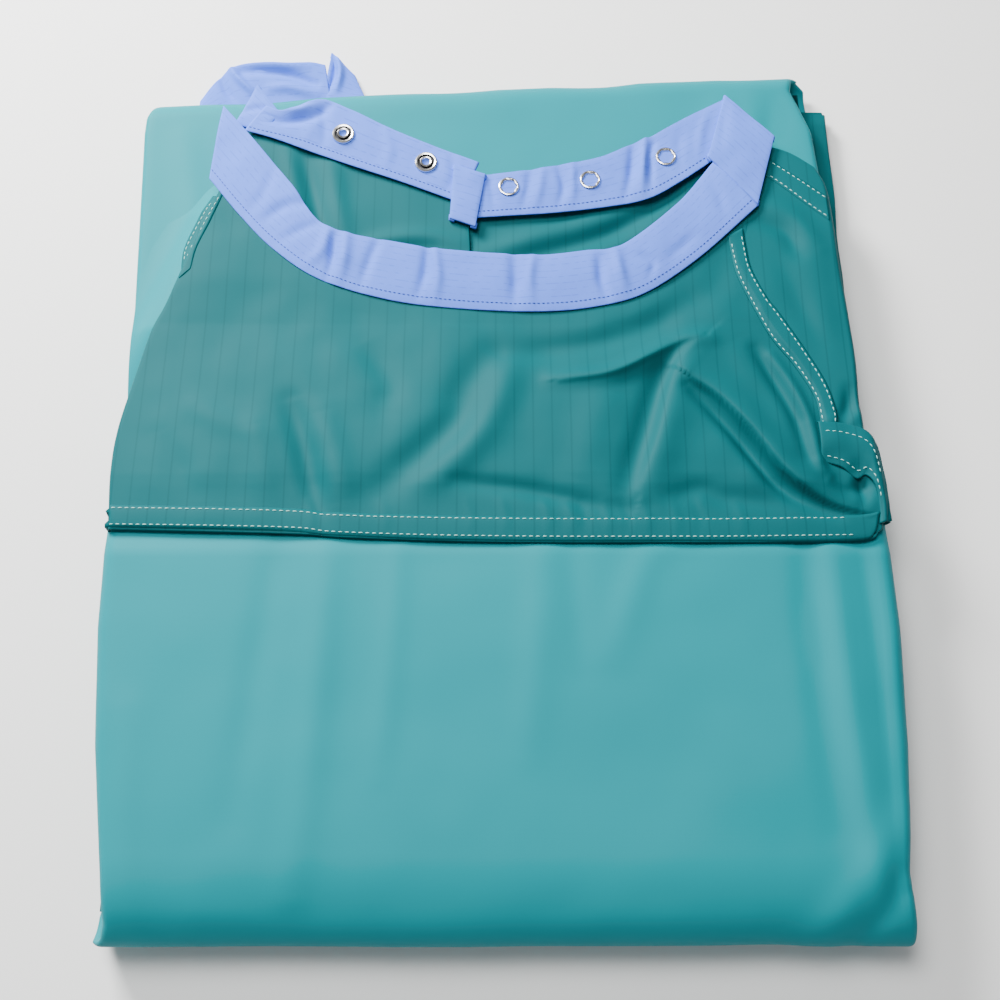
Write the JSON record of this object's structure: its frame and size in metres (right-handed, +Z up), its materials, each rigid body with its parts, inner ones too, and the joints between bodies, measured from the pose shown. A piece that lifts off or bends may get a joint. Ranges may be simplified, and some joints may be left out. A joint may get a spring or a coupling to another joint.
{
  "type": "surgical gown",
  "caption": "Reusable surgical gown folded flat into a bundle, with a barrier front panel, a dark yoke and a snap-closed neckband.",
  "frame": {"origin": "middle of the bundle's bounding box, on the surface it lies on", "axes": "+Z up, +Y from the front fold towards the neck, +X to the right as seen from the front fold"},
  "size_m": [0.4106, 0.518, 0.043],
  "materials": {
    "barrier_cloth": "smooth laminated polyester, soft sheen",
    "yoke_cloth": "plain-woven polyester with carbon stripe yarns, matte",
    "band_cloth": "plain-woven polyester, matte",
    "cuff_knit": "rib-knitted polyester, matte",
    "snap_metal": "nickel-plated, polished"
  },
  "bodies": {
    "middle": {"front_panel_middle": "barrier_cloth", "right_back_panel_middle": "yoke_cloth", "left_back_panel_middle": "yoke_cloth", "waist_tie_left": "band_cloth", "waist_tie_right": "band_cloth"},
    "hem": {"front_panel_hem": "barrier_cloth", "left_back_panel_hem": "yoke_cloth", "right_back_panel_hem": "yoke_cloth"},
    "chest": {"front_panel_upper": "barrier_cloth", "chest_yoke": "yoke_cloth", "yoke_seam": "yoke_cloth", "left_sleeve": "barrier_cloth", "right_sleeve": "yoke_cloth", "left_cuff": "cuff_knit", "right_cuff": "cuff_knit", "right_back_panel_upper": "yoke_cloth", "left_back_panel_upper": "yoke_cloth", "left_side_tuck": "barrier_cloth", "neckband_front": "band_cloth", "neckband_left_shoulder": "band_cloth", "neckband_right_back": "band_cloth", "snap_ring_1": "snap_metal", "snap_ring_2": "snap_metal", "snap_ring_3": "snap_metal", "snap_stud_1": "snap_metal", "snap_stud_2": "snap_metal", "snap_stud_3": "snap_metal", "right_raglan_seam": "yoke_cloth", "right_shoulder_seam": "yoke_cloth", "right_side_seam": "yoke_cloth", "left_raglan_seam": "yoke_cloth"},
    "band_end": {"left_back_panel_corner": "yoke_cloth", "neckband_left_back": "band_cloth", "neckband_tab": "band_cloth", "snap_socket_1": "snap_metal", "snap_socket_2": "snap_metal", "socket_back_ring_1": "snap_metal", "socket_back_ring_2": "snap_metal"}
  },
  "joints": [
    {"name": "front_fold", "type": "hinge", "parent": "middle", "child": "chest", "pos_m": [0.00235, -0.259, 0.02165], "axis": [1, 0, 0], "range_deg": [0, 180]},
    {"name": "rear_fold", "type": "hinge", "parent": "middle", "child": "hem", "pos_m": [0.00235, 0.233, 0.01215], "axis": [-0.9985, -0.0541, 0], "range_deg": [0, 180], "deforming": ["waist_tie_left", "waist_tie_right"]},
    {"name": "band_end_lift", "type": "hinge", "parent": "chest", "child": "band_end", "pos_m": [-0.12411, 0.18211, 0.0291], "axis": [0.843, -0.538, 0], "range_deg": [0, 75]}
  ],
  "couplings": [
    {"joint": "rear_fold", "follows": "front_fold", "ratio": 1}
  ]
}
